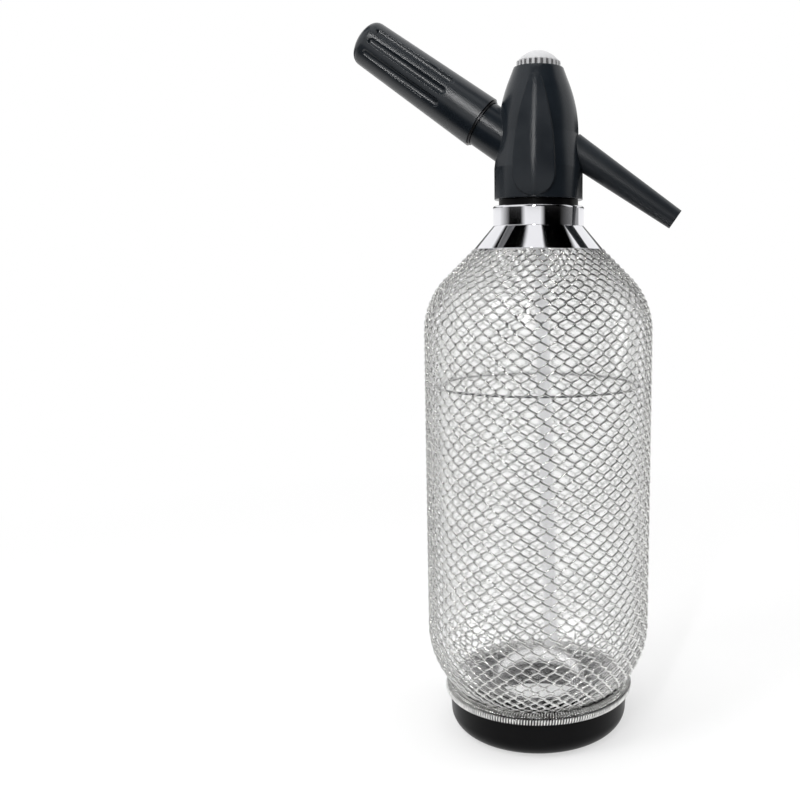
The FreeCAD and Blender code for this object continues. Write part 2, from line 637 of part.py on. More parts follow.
def head_outline(offset):
    """Outside of the head as corners above its lower edge, at an offset from its surface."""
    slope = "dim.head_crown_angle"
    across = f"(dim.head_waist_radius - {HEAD_TOP_RADIUS})"
    up = "(dim.head_height - dim.head_waist_height)"
    crown = f"(({up} * sin({slope}) - {across} * cos({slope})) / (1 - cos({slope})))"
    return [
        (f"dim.head_skirt_radius + {offset}", "0"),
        (f"dim.head_skirt_radius + {offset}", "dim.head_skirt_height"),
        (
            f"dim.head_waist_radius + {offset}",
            "dim.head_waist_height",
            f"{crown} + {offset}",
            1,
        ),
        (
            f"dim.head_waist_radius - {crown} * (1 - cos({slope})) + {offset} * cos({slope})",
            f"dim.head_waist_height + ({crown} + {offset}) * sin({slope})",
        ),
        (f"{HEAD_TOP_RADIUS} + {offset} / cos({slope})", "dim.head_height"),
        ("0", "dim.head_height"),
        ("0", "0"),
    ]


def make_leaf():
    """Leaf-shaped panel with a lengthwise crest, on the front of the head."""
    half = "dim.leaf_half_width"
    centre = f"({HEAD_BASE} + dim.leaf_base_margin + {half})"
    side = "(dim.leaf_side_radius - dim.leaf_tip_radius)"
    side_across = f"(dim.leaf_side_radius - {half})"
    rise = f"sqrt({side} ^ 2 - {side_across} ^ 2)"
    tip_centre = f"({centre} + {rise})"
    touch_across = f"(dim.leaf_tip_radius * {side_across} / {side})"
    touch_up = f"({tip_centre} + dim.leaf_tip_radius * {rise} / {side})"
    body = new_body("leaf_block")
    sketch = new_sketch(body, "leaf_outline", "XZ_Plane")
    draw(sketch, [
        ("0", f"{centre} - {half}", half, 1),
        (half, centre, "dim.leaf_side_radius", 1),
        (touch_across, touch_up, "dim.leaf_tip_radius", 1),
        (f"-{touch_across}", touch_up, "dim.leaf_side_radius", 1),
        (f"-{half}", centre, half, 1),
    ])
    pad = body.newObject("PartDesign::Pad", "leaf_pad")
    pad.Profile = sketch
    pad.setExpression("Length", "dim.head_skirt_radius * 2")

    tip = f"({tip_centre} + dim.leaf_tip_radius)"
    tip_out = (
        f"({HEAD_TOP_RADIUS} + ({HEAD_TOP} - {tip}) * tan(dim.head_crown_angle)"
        " + dim.leaf_proud)"
    )
    foot_out = "(dim.head_skirt_radius + dim.leaf_proud)"
    foot = f"({centre} - {half})"
    chord = f"sqrt(({foot_out} - {tip_out}) ^ 2 + ({tip} - {foot}) ^ 2)"
    sag = f"sqrt(dim.leaf_crest_radius ^ 2 - ({chord} / 2) ^ 2)"
    crest_out = f"(({tip_out} + {foot_out}) / 2 - {sag} * ({tip} - {foot}) / {chord})"
    crest_up = f"(({tip} + {foot}) / 2 - {sag} * ({foot_out} - {tip_out}) / {chord})"
    wide = f"({half} * 2)"
    edge = f"dim.leaf_crest_radius - {wide} * tan(dim.leaf_crest_slope)"
    deep = f"dim.leaf_crest_radius - {wide}"
    crest = turned("leaf_crest", [
        (deep, "0"),
        (edge, "0"),
        ("dim.leaf_crest_radius", wide),
        (edge, f"{wide} * 2"),
        (deep, f"{wide} * 2"),
    ])
    crest.setExpression(
        "Placement",
        f"placement(vector(-{wide}; -{crest_out}; {crest_up}); rotation(vector(0; 1; 0); 90))",
    )
    front = DOC.addObject("Part::Common", "leaf_front")
    front.Base = body
    front.Tool = crest
    back = DOC.addObject("Part::Mirroring", "leaf_back")
    back.Source = front
    back.Normal = Vector(0, 1, 0)
    return front, back


# Stations of the charger line, measured outwards from the holder's mouth.
STUB_FACE = "(-dim.washer_thickness - dim.axial_gap * 2)"
CHARGER_FRONT = (
    f"({CAP_CENTRE} + {CAP_RADIUS} - dim.holder_cap_wall - dim.charger_end_gap"
    " - dim.charger_length)"
)
RECESS_FLOOR = f"({CHARGER_FRONT} - dim.charger_gasket_thickness - dim.axial_gap * 2)"
PIN_FOOT = f"({RECESS_FLOOR} - dim.pin_foot)"
SHANK_END = f"({STUB_FACE} - dim.nipple_shank_length)"
CHECK_END = f"({SHANK_END} - dim.check_sleeve_length - dim.axial_gap * 2)"


def make_head():
    """Moulded head: crown, skirt, stub for the holder and two leaf panels, with its bores."""
    outside = turned("head_outside", head_outline("0"), HEAD_BASE)
    stub = along_holder(
        rod("stub", "dim.stub_radius", f"dim.holder_reach + {STUB_FACE} - dim.stub_start"),
        "(dim.stub_start - dim.holder_reach)",
    )
    front, back = make_leaf()
    blank = joined("head_blank", [outside, stub, front, back])

    skirt = rod("skirt_bore", THREAD_BORE, f"{CEILING} - {HEAD_BASE} + dim.thread_gap",
                f"{HEAD_BASE} - dim.thread_gap")
    inlet = rod("inlet_bore", "dim.inlet_radius + dim.fit_gap",
                f"{SEAT_SHELF} - {CEILING} + dim.thread_gap", f"{CEILING} - dim.thread_gap")
    outlet = rod("outlet_bore", "dim.outlet_radius", f"{WELL_FLOOR} - {VALVE_SEAT}", VALVE_SEAT)
    gland = rod("gland_bore", "dim.gland_radius", "dim.gland_depth + dim.thread_gap", GLAND_FLOOR)
    well = rod("well_bore", WELL_RADIUS, "dim.well_depth + dim.thread_gap", WELL_FLOOR)
    spout_socket = along_spout(
        rod("spout_socket_bore", "dim.spout_spigot_radius + dim.fit_gap", "dim.spout_reach"),
        "dim.spout_socket",
    )
    spout_way = along_spout(
        rod("spout_way", "dim.spout_bore_radius", "dim.spout_socket + dim.fit_gap"), "0"
    )
    nipple_socket = along_holder(
        rod("nipple_socket", "dim.nipple_shank_radius + dim.fit_gap",
            "dim.nipple_shank_length + dim.holder_reach"),
        f"({SHANK_END} - dim.axial_gap)",
    )
    check_pocket = along_holder(
        rod("check_pocket", "dim.check_pocket_radius",
            f"{SHANK_END} - {CHECK_END} + dim.axial_gap"),
        CHECK_END,
    )
    gas_way = along_holder(
        rod("gas_way", "dim.nipple_bore_radius", f"dim.holder_reach + {CHECK_END} + dim.fit_gap"),
        "(-dim.holder_reach)",
    )
    bores = joined("head_bores", [
        skirt, inlet, outlet, gland, well,
        spout_socket, spout_way, nipple_socket, check_pocket, gas_way,
    ])
    head = cut("head_body", blank, bores)
    seal = ring("head_seal", "dim.seal_bore_radius", f"{THREAD_BORE} - dim.thread_gap",
                "dim.seal_thickness", HEAD_SEAL)
    return [head, seal]


def make_spout():
    """Tapered spout with a saddle face on the head, a spigot, a bore and its seal."""
    start = "(dim.spout_socket + dim.spout_seal_thickness + dim.axial_gap)"
    length = "(dim.spout_reach - dim.spout_flare)"
    cone = along_spout(turned("spout_cone", [
        ("0", "0"),
        ("dim.spout_root_radius", "0"),
        ("dim.spout_tip_radius", length),
        ("0", length),
    ]), "dim.spout_flare")
    around = turned("head_clearance", head_outline("dim.fit_gap"), HEAD_BASE)
    saddle = cut("spout_saddle", cone, around)
    spigot = along_spout(
        rod("spout_spigot", "dim.spout_spigot_radius", f"dim.spout_reach / 2 - {start}"), start
    )
    solid = joined("spout_solid", [saddle, spigot])
    bore = along_spout(rod("spout_bore", "dim.spout_bore_radius", "dim.spout_reach"), start)
    spout = cut("spout", solid, bore)
    seal = along_spout(
        ring("spout_seal", "dim.spout_bore_radius", "dim.spout_spigot_radius",
             "dim.spout_seal_thickness"),
        "dim.spout_socket",
    )
    return [spout, seal]


def make_valve():
    """Valve seat, stem guide and O-ring in the head; stem, disc and washer that move."""
    hole = "(dim.stem_radius + dim.stem_slide_gap)"
    seat = ring("valve_seat", "dim.seat_orifice_radius", "dim.inlet_radius",
                "dim.seat_thickness", VALVE_SEAT)
    ring_radius = f"({hole} + dim.stem_seal_tube)"
    seal = DOC.addObject("Part::Torus", "stem_seal")
    seal.setExpression("Radius1", ring_radius)
    seal.setExpression("Radius2", "dim.stem_seal_tube")
    seal.setExpression(
        ".Placement.Base.z", f"{GLAND_FLOOR} + dim.stem_seal_tube + dim.axial_gap"
    )
    guide_foot = f"({GLAND_FLOOR} + dim.stem_seal_tube * 2 + dim.axial_gap * 2)"
    guide_radius = "(dim.gland_radius - dim.fit_gap)"
    shank = f"({WELL_FLOOR} - {guide_foot})"
    guide = turned("stem_guide", [
        (hole, "0"),
        (guide_radius, "0"),
        (guide_radius, shank),
        ("dim.gland_flange_radius", shank),
        ("dim.gland_flange_radius", f"{shank} + dim.gland_flange_thickness"),
        (hole, f"{shank} + dim.gland_flange_thickness"),
    ], guide_foot)
    stem = rod("valve_stem", "dim.stem_radius", f"{SPRING_HEAD} - {STEM_FOOT}", STEM_FOOT)
    collar = "(dim.stem_radius + dim.fit_gap)"
    disc = ring("valve_disc", collar, "dim.disc_radius", "dim.disc_thickness", DISC_FOOT)
    retainer = ring("disc_retainer", collar, "dim.retainer_radius",
                    "dim.retainer_thickness", RETAINER_FOOT)
    return [seat, seal, guide, stem, disc, retainer]


def make_button():
    """Domed button with a toothed band, the plunger under it and its return spring."""
    skirt = "(dim.button_radius - dim.button_skirt_step)"
    inside = f"({skirt} - dim.button_wall)"
    band = "(dim.button_skirt_length + dim.button_band_height)"
    dome_radius = "(dim.button_radius - dim.dome_shelf)"
    dome_arc = f"(({dome_radius} ^ 2 + dim.dome_height ^ 2) / (2 * dim.dome_height))"
    button = turned("push_button", [
        (inside, "0"),
        (skirt, "0"),
        (skirt, "dim.button_skirt_length"),
        ("dim.button_radius", "dim.button_skirt_length"),
        ("dim.button_radius", band),
        (dome_radius, band, dome_arc, 1),
        ("0", f"{band} + dim.dome_height"),
        ("0", "dim.button_ceiling"),
        (inside, "dim.button_ceiling"),
    ], BUTTON_FOOT)
    groove_place = "dim.button_radius + dim.tooth_radius - dim.tooth_depth"
    groove_sketch = new_sketch(button, "tooth_outline", "XY_Plane")
    groove_sketch.AttachmentOffset = FreeCAD.Placement(
        Vector(0, 0, value_of("dim.button_skirt_length")), FreeCAD.Rotation()
    )
    groove_sketch.setExpression(".AttachmentOffset.Base.z", "dim.button_skirt_length")
    groove_sketch.addGeometry(
        Part.Circle(
            Vector(value_of(groove_place), 0, 0), Vector(0, 0, 1), value_of("dim.tooth_radius")
        ),
        False,
    )
    pin(groove_sketch, "DistanceX", 0, 3, "place", groove_place)
    groove_sketch.addConstraint(Sketcher.Constraint("PointOnObject", 0, 3, -1))
    number = groove_sketch.addConstraint(
        Sketcher.Constraint("Radius", 0, value_of("dim.tooth_radius"))
    )
    groove_sketch.renameConstraint(number, "groove")
    groove_sketch.setExpression("Constraints.groove", "dim.tooth_radius")
    DOC.recompute()
    groove = button.newObject("PartDesign::Pocket", "tooth_groove")
    groove.Profile = groove_sketch
    groove.Reversed = True
    groove.setExpression("Length", "dim.button_band_height + dim.dome_height")
    DOC.recompute()
    teeth = button.newObject("PartDesign::PolarPattern", "teeth")
    teeth.Originals = [groove]
    teeth.Axis = (origin_axis(button, "Z_Axis"), [""])
    teeth.Angle = 360
    teeth.setExpression("Occurrences", "dim.tooth_count")
    button.Tip = teeth

    boss = "dim.plunger_boss_length"
    total = f"({boss} + dim.plunger_thickness)"
    bore = "(dim.stem_radius + dim.fit_gap)"
    plate = f"({inside} - dim.fit_gap)"
    plunger = turned("button_plunger", [
        (bore, "0"),
        ("dim.plunger_boss_radius", "0"),
        ("dim.plunger_boss_radius", boss),
        (plate, boss),
        (plate, total),
        ("0", total),
        ("0", boss),
        (bore, boss),
    ], PLUNGER_FOOT)

    spring = new_body("return_spring")
    wire = new_sketch(spring, "spring_wire_section", "XZ_Plane")
    wire_up = "dim.spring_wire / 2 + dim.axial_gap"
    wire.addGeometry(
        Part.Circle(
            Vector(value_of("dim.spring_radius"), value_of(wire_up), 0),
            Vector(0, 0, 1),
            value_of("dim.spring_wire / 2"),
        ),
        False,
    )
    pin(wire, "DistanceX", 0, 3, "coil", "dim.spring_radius")
    pin(wire, "DistanceY", 0, 3, "start", wire_up)
    number = wire.addConstraint(Sketcher.Constraint("Radius", 0, value_of("dim.spring_wire / 2")))
    wire.renameConstraint(number, "section")
    wire.setExpression("Constraints.section", "dim.spring_wire / 2")
    DOC.recompute()
    coil = spring.newObject("PartDesign::AdditiveHelix", "spring_coil")
    coil.Profile = wire
    coil.ReferenceAxis = (wire, ["V_Axis"])
    coil.Mode = 1
    free = f"({SPRING_HEAD} - {SPRING_FOOT} - dim.spring_wire - dim.axial_gap * 2)"
    coil.setExpression("Height", free)
    coil.setExpression("Turns", "dim.spring_turns")
    coil.setExpression("Pitch", f"{free} / dim.spring_turns")
    spring.setExpression(".Placement.Base.z", SPRING_FOOT)
    return [button, plunger, spring]


def make_charger_line():
    """What lies on the charger's axis: nipple, pin, seals, charger and the fluted holder."""
    face = f"({STUB_FACE} - {SHANK_END})"
    front = f"({face} - {STUB_FACE} + dim.nipple_length)"
    floor = f"({RECESS_FLOOR} - {SHANK_END})"
    pin_floor = f"({PIN_FOOT} - dim.axial_gap - {SHANK_END})"
    neck_end = f"({CHARGER_FRONT} + dim.charger_neck_length - dim.thread_gap - {SHANK_END})"
    flare = (
        f"({CHARGER_RECESS} + ({front} - {neck_end}) * (dim.charger_radius"
        " - dim.charger_neck_radius) / dim.charger_shoulder_length)"
    )
    nipple = along_holder(turned("charger_nipple", [
        ("dim.nipple_bore_radius", "0"),
        ("dim.nipple_shank_radius", "0"),
        ("dim.nipple_shank_radius", face),
        ("dim.nipple_radius", face),
        ("dim.nipple_radius", front),
        (flare, front),
        (CHARGER_RECESS, neck_end),
        (CHARGER_RECESS, floor),
        ("dim.pin_radius + dim.fit_gap", floor),
        ("dim.pin_radius + dim.fit_gap", pin_floor),
        ("dim.nipple_bore_radius", pin_floor),
    ]), SHANK_END)
    needle = "(dim.pin_foot + dim.pin_needle_length)"
    piercing_pin = along_holder(turned("piercing_pin", [
        ("dim.pin_bore_radius", "0"),
        ("dim.pin_radius", "0"),
        ("dim.pin_radius", "dim.pin_foot"),
        ("dim.pin_needle_radius", "dim.pin_foot"),
        ("dim.pin_bore_radius", needle),
    ]), PIN_FOOT)
    gasket = along_holder(
        ring("charger_gasket", "dim.charger_gasket_bore", f"{CHARGER_RECESS} - dim.fit_gap",
             "dim.charger_gasket_thickness"),
        f"({RECESS_FLOOR} + dim.axial_gap)",
    )
    check_sleeve = along_holder(
        ring("check_sleeve", "dim.check_sleeve_bore", "dim.check_pocket_radius - dim.fit_gap",
             "dim.check_sleeve_length"),
        f"({CHECK_END} + dim.axial_gap)",
    )
    washer = along_holder(
        ring("holder_washer", "dim.nipple_radius + dim.thread_gap / 2", "dim.washer_radius",
             "dim.washer_thickness"),
        f"({STUB_FACE} + dim.axial_gap)",
    )

    shoulder = "(dim.charger_neck_length + dim.charger_shoulder_length)"
    inner = "(dim.charger_radius - dim.charger_wall)"
    inner_neck = "(dim.charger_neck_radius - dim.charger_wall)"
    side_end = "(dim.charger_length - dim.charger_radius)"
    charger = along_holder(turned("gas_charger", [
        ("dim.charger_hole_radius", "0"),
        ("dim.charger_neck_radius", "0"),
        ("dim.charger_neck_radius", "dim.charger_neck_length"),
        ("dim.charger_radius", shoulder),
        ("dim.charger_radius", side_end, "dim.charger_radius", 1),
        ("0", "dim.charger_length"),
        ("0", "dim.charger_length - dim.charger_wall", inner, -1),
        (inner, side_end),
        (inner, shoulder),
        (inner_neck, "dim.charger_neck_length"),
        (inner_neck, "dim.charger_wall"),
        ("dim.charger_hole_radius", "dim.charger_wall"),
    ]), CHARGER_FRONT)

    turn_across = "(dim.holder_end_corner * cos(dim.holder_end_turn))"
    turn_up = "(dim.holder_end_corner * sin(dim.holder_end_turn))"
    cap_across = f"(dim.holder_end_radius - dim.holder_end_corner + {turn_across})"
    cap_top = f"({CAP_CENTRE} + {CAP_RADIUS})"
    bore_end = f"({cap_top} - dim.holder_cap_wall)"
    pocket = f"({INSERT_BORE} + dim.insert_wall + dim.fit_gap)"
    pocket_end = "(dim.insert_length + dim.axial_gap * 2)"
    shell = turned("holder_blank", [
        (pocket, "0"),
        ("dim.holder_mouth_radius", "0"),
        ("dim.holder_end_radius", "dim.holder_side_length", "dim.holder_end_corner", 1),
        (cap_across, f"dim.holder_side_length + {turn_up}", CAP_RADIUS, 1),
        ("0", cap_top),
        ("0", bore_end, CHARGER_BORE, -1),
        (CHARGER_BORE, f"{bore_end} - {CHARGER_BORE}"),
        (CHARGER_BORE, pocket_end),
        (pocket, pocket_end),
    ])
    near = "(dim.flute_start + dim.flute_radius)"
    run = "(dim.flute_end - dim.flute_radius * 2 - dim.flute_start)"
    out = f"({CHARGER_BORE} + dim.flute_wall + dim.flute_radius)"
    flutes = []
    for side in (0, 180):
        for number in range(round(value_of("dim.flute_group"))):
            flute = turned(f"flute_{side}_{number}", [
                ("0", "-dim.flute_radius", "dim.flute_radius", 1),
                ("dim.flute_radius", "0"),
                ("dim.flute_radius", run, "dim.flute_radius", 1),
                ("0", f"{run} + dim.flute_radius"),
            ])
            turn = f"({side} + dim.flute_turn + dim.flute_spacing * {number})"
            flutes.append(along_holder(
                flute, "0", turn, f" * placement(vector(0; -{out}; {near}); rotation(0; 0; 0))"
            ))
    cutters = joined("flutes", flutes)
    holder = cut("holder_sleeve", along_holder(shell, "0"), cutters)
    insert = along_holder(
        ring("holder_insert", INSERT_BORE, f"{INSERT_BORE} + dim.insert_wall",
             "dim.insert_length"),
        "dim.axial_gap",
    )
    return [nipple, piercing_pin, gasket, check_sleeve, washer, charger, holder, insert]


def check(objects):
    """Stops if anything failed to build."""
    for item in DOC.Objects:
        if "Invalid" in item.State or "Error" in item.State:
            raise RuntimeError(f"{item.Label} is {item.State}: {item.getStatusString()}")
    for item in objects:
        shape = item.Shape
        if shape.isNull() or not shape.isValid() or not shape.Solids:
            raise RuntimeError(f"{item.Label} has no valid solid")


def main():
    parts = (
        make_base() + make_bottle() + make_mesh() + make_ferrule() + make_riser()
        + make_head() + make_spout() + make_valve() + make_button() + make_charger_line()
    )
    DOC.recompute()
    check(parts)
    os.makedirs("parts", exist_ok=True)
    for part in parts:
        part.Shape.exportStep(os.path.join("parts", f"{part.Label}.step"))
        print(f"{part.Label}: {len(part.Shape.Solids)} solid, {part.Shape.Volume:.1f} mm3")


main()
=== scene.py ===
import math

import bpy
import numpy as np
from mathutils import Euler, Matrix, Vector


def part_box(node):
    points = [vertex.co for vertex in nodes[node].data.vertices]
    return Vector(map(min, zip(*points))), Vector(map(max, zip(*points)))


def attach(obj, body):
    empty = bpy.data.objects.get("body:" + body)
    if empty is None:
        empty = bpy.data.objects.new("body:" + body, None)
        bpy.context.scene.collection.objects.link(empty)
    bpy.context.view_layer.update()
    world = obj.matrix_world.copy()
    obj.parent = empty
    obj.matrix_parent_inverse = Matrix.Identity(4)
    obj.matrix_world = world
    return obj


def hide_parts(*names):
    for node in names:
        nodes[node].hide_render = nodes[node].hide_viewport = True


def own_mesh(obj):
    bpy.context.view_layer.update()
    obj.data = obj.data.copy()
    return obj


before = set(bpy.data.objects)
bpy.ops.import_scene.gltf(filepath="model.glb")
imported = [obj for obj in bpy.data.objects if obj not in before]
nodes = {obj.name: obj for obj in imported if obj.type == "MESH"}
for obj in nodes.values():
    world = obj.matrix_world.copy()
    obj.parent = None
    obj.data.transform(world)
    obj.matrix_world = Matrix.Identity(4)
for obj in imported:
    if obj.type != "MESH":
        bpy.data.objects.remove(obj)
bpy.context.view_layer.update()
scene = bpy.context.scene
MM = 0.001

# ---------------------------------------------------------------- camera
# Fitted to the photograph: bearing, downward angle, distance from the bottle's axis and height.
VIEW_AZIMUTH = math.radians(6.4)
VIEW_DOWN = math.radians(7.76)
DISTANCE, HEIGHT = 0.4344, 0.21524
# The bottle's axis, the focal length and the picture's width, in the photograph's pixels.
AXIS_PIXEL, FOCAL_PIXELS, FRAME_PIXELS = 538.5, 942.3, 800
SENSOR = 36


def link_object(name, data):
    """A new object in the scene."""
    piece = bpy.data.objects.new(name, data)
    scene.collection.objects.link(piece)
    return piece


camera = link_object("camera", bpy.data.cameras.new("camera"))
camera.location = (
    DISTANCE * math.sin(VIEW_AZIMUTH),
    -DISTANCE * math.cos(VIEW_AZIMUTH),
    HEIGHT,
)
camera.rotation_euler = Euler((math.pi / 2 - VIEW_DOWN, 0, VIEW_AZIMUTH))
camera.data.sensor_width = SENSOR
camera.data.lens = SENSOR * FOCAL_PIXELS / FRAME_PIXELS
camera.data.shift_x = -(AXIS_PIXEL - FRAME_PIXELS / 2) / FRAME_PIXELS
camera.data.clip_start = 0.01
scene.camera = camera

# ---------------------------------------------------------------- shader nodes
# Most of a noise texture's values lie between these two.
NOISE_LOW, NOISE_HIGH = 0.3, 0.7


def new_material(name):
    """A material with its node tree and the sockets of its shader."""
    material = bpy.data.materials.new(name)
    material.use_nodes = True
    tree = material.node_tree
    return material, tree, tree.nodes["Principled BSDF"].inputs


def place(tree):
    """The object's own coordinates, in metres."""
    return tree.nodes.new("ShaderNodeTexCoord").outputs["Object"]


def parts_of(tree, source):
    """The X, Y and Z of a vector."""
    parts = tree.nodes.new("ShaderNodeSeparateXYZ")
    tree.links.new(source, parts.inputs["Vector"])
    return parts.outputs


def length_of(tree, source):
    """The length of a vector."""
    length = tree.nodes.new("ShaderNodeVectorMath")
    length.operation = "LENGTH"
    tree.links.new(source, length.inputs[0])
    return length.outputs["Value"]


def combine(tree, operation, *sources):
    """A math operation on one or two numbers."""
    node = tree.nodes.new("ShaderNodeMath")
    node.operation = operation
    for source, socket in zip(sources, node.inputs):
        tree.links.new(source, socket)
    return node.outputs[0]


def noise(tree, scale, detail=4.0):
    """The values of a noise texture in the object's own coordinates."""
    texture = tree.nodes.new("ShaderNodeTexNoise")
    texture.inputs["Scale"].default_value = scale
    texture.inputs["Detail"].default_value = detail
    texture.inputs["Roughness"].default_value = 0.6
    tree.links.new(place(tree), texture.inputs["Vector"])
    return texture.outputs["Fac"]


def spread(tree, source, low, high, start=NOISE_LOW, end=NOISE_HIGH):
    """Maps a number from the range start to end to the range low to high."""
    node = tree.nodes.new("ShaderNodeMapRange")
    node.inputs["From Min"].default_value = start
    node.inputs["From Max"].default_value = end
    node.inputs["To Min"].default_value = low
    node.inputs["To Max"].default_value = high
    tree.links.new(source, node.inputs["Value"])
    return node.outputs["Result"]


def mixed(tree, source, dark, light):
    """Maps a texture's value to a range of colours."""
    ramp = tree.nodes.new("ShaderNodeValToRGB")
    stops = zip(ramp.color_ramp.elements, (NOISE_LOW, NOISE_HIGH), (dark, light))
    for stop, position, colour in stops:
        stop.position = position
        stop.color = (*colour, 1)
    tree.links.new(source, ramp.inputs["Fac"])
    return ramp.outputs["Color"]


def mix_shaders(tree, share, first, second):
    """Makes a mix of two shaders the material's surface."""
    blend = tree.nodes.new("ShaderNodeMixShader")
    for source, socket in zip((share, first, second), blend.inputs):
        tree.links.new(source, socket)
    tree.links.new(blend.outputs[0], tree.nodes["Material Output"].inputs["Surface"])


def relief(tree, inputs, source, height, strength, edge, crest=0.0):
    """Relief from a texture, over edges that are rounded by a radius in metres.

    A crest is a larger radius for the edges close to the plane X = 0."""
    bump = tree.nodes.new("ShaderNodeBump")
    bump.inputs["Distance"].default_value = height
    bump.inputs["Strength"].default_value = strength
    tree.links.new(source, bump.inputs["Height"])
    tree.links.new(bump.outputs["Normal"], inputs["Normal"])
    if edge:
        rounding = tree.nodes.new("ShaderNodeBevel")
        rounding.inputs["Radius"].default_value = edge
        tree.links.new(rounding.outputs["Normal"], bump.inputs["Normal"])
    if crest:
        near, far = 0.002, 0.003
        off = combine(tree, "ABSOLUTE", parts_of(tree, place(tree))["X"])
        tree.links.new(spread(tree, off, crest, edge, near, far), rounding.inputs["Radius"])


# ---------------------------------------------------------------- materials
def clouded(name, dark, light, rough, scale):
    """A material whose colour and gloss follow one noise, which is given too."""
    material, tree, inputs = new_material(name)
    cloud = noise(tree, scale)
    tree.links.new(mixed(tree, cloud, dark, light), inputs["Base Color"])
    tree.links.new(spread(tree, cloud, *rough), inputs["Roughness"])
    return material, tree, inputs, cloud


def plastic(name, dark, light, rough=(0.3, 0.4), grain=0.00002, edge=0.0, gloss=0.5, crest=0.0):
    """Moulded plastic with a fine grain and slightly uneven gloss."""
    cloud_scale, grain_scale = 60, 900
    material, tree, inputs, _ = clouded(name, dark, light, rough, cloud_scale)
    inputs["Specular IOR Level"].default_value = gloss
    fine = noise(tree, grain_scale, detail=2)
    relief(tree, inputs, fine, grain, strength=0.6, edge=edge, crest=crest)
    return material


def metal(name, dark, light, rough=(0.12, 0.2), scale=150, grain=0.00001, edge=0.0):
    """Metal with slightly uneven polish."""
    material, tree, inputs, cloud = clouded(name, dark, light, rough, scale)
    inputs["Metallic"].default_value = 1
    relief(tree, inputs, cloud, grain, strength=0.4, edge=edge)
    return material


def paint_shade_in_grooves(material, dark, radius, top):
    """Paints shade into grooves: darkens the colour of what lies within a radius from the axis and
    below a height, in metres.
    """
    fade_out, fade_up = 0.0003, 0.0001
    tree = material.node_tree
    level = tree.nodes.new("ShaderNodeVectorMath")
    level.operation = "MULTIPLY"
    level.inputs[1].default_value = (1, 1, 0)
    tree.links.new(place(tree), level.inputs[0])
    out = spread(tree, length_of(tree, level.outputs["Vector"]), 0, 1, radius - fade_out, radius)
    above = spread(tree, parts_of(tree, place(tree))["Z"], 0, 1, top - fade_up, top)
    blend = tree.nodes.new("ShaderNodeMixRGB")
    blend.inputs["Color1"].default_value = (*dark, 1)
    tree.links.new(combine(tree, "MAXIMUM", out, above), blend.inputs["Fac"])
    colour = tree.nodes["Principled BSDF"].inputs["Base Color"]
    tree.links.new(colour.links[0].from_socket, blend.inputs["Color2"])
    tree.links.new(blend.outputs["Color"], colour)


def milky(name, dark, light):
    """Thin natural plastic that lets most light through."""
    material, tree, inputs = new_material(name)
    inputs["Transmission Weight"].default_value = 0.9
    inputs["IOR"].default_value = 1.06
    inputs["Roughness"].default_value = 0.35
    tree.links.new(mixed(tree, noise(tree, 80), dark, light), inputs["Base Color"])
    return material


def glass(name, dark, light, haze):
    """Glass with a haze that clears towards the bottle's foot."""
    clear, clear_height, haze_height = 0.02, 0.05, 0.07
    material, tree, inputs = new_material(name)
    inputs["Transmission Weight"].default_value = 1
    inputs["Specular IOR Level"].default_value = 0.2
    inputs["IOR"].default_value = 1.48
    tree.links.new(mixed(tree, noise(tree, 25, detail=2), dark, light), inputs["Base Color"])
    height = parts_of(tree, place(tree))["Z"]
    rough = spread(tree, height, clear, haze, clear_height, haze_height)
    tree.links.new(rough, inputs["Roughness"])
    return material


# The moulded head, spout and holder share their colours and differ in gloss.
BLACKS = (0.008, 0.011, 0.015), (0.012, 0.016, 0.021)
MOULD_GRAIN, MOULD_EDGE = 0.000003, 0.0006
BODY_BLACK = plastic(
    "body black", *BLACKS, (0.20, 0.26), MOULD_GRAIN, MOULD_EDGE, gloss=0.35, crest=0.0025
)
SPOUT_BLACK = plastic("spout black", *BLACKS, (0.38, 0.44), MOULD_GRAIN, MOULD_EDGE, gloss=0.6)
HOLDER_BLACK = plastic("holder black", *BLACKS, (0.26, 0.32), grain=0, gloss=0.55)
BASE_BLACK = plastic(
    "base black", (0.002, 0.002, 0.0025), (0.004, 0.004, 0.0045), (0.28, 0.36), gloss=0.08
)
SEAL_BLACK = plastic("seal rubber", (0.02, 0.02, 0.02), (0.035, 0.035, 0.035), (0.6, 0.75))
INNER = plastic("inner plastic", (0.62, 0.62, 0.60), (0.72, 0.72, 0.70), (0.35, 0.5))
TUBE = milky("riser plastic", (0.96, 0.96, 0.97), (0.99, 0.99, 1.0))
BUTTON = plastic("button silver", (0.50, 0.50, 0.51), (0.60, 0.60, 0.61), (0.25, 0.35))
# Painted shade in the grooves between the button's teeth.
paint_shade_in_grooves(BUTTON, (0.11, 0.11, 0.115), 0.0096, 0.3073)
CHROME = metal(
    "chrome", (0.80, 0.80, 0.83), (0.86, 0.86, 0.89), (0.05, 0.07), scale=40, grain=0, edge=0.0004
)
WIRE = metal("bright wire", (0.52, 0.52, 0.515), (0.97, 0.97, 0.95), (0.08, 0.16), scale=500)
STEEL = metal("steel", (0.55, 0.56, 0.57), (0.68, 0.69, 0.70), (0.2, 0.32))
# Painted shade: the washer is near-black, far darker than steel, so the holder's mouth shows as a
# dark gap.
WASHER_SHADE = metal("washer painted shade", (0.03, 0.03, 0.032), (0.06, 0.06, 0.062), (0.3, 0.4))
BRASS = metal("brass", (0.60, 0.43, 0.18), (0.74, 0.56, 0.26), (0.16, 0.28))
GLASS = glass("clear glass", (0.99, 0.99, 0.99), (1, 1, 1), haze=0.08)
# Painted shade for the dark line of the water's surface inside the glass.
MENISCUS_SHADE = plastic("painted meniscus shade", (0.01, 0.01, 0.01), (0.02, 0.02, 0.02))

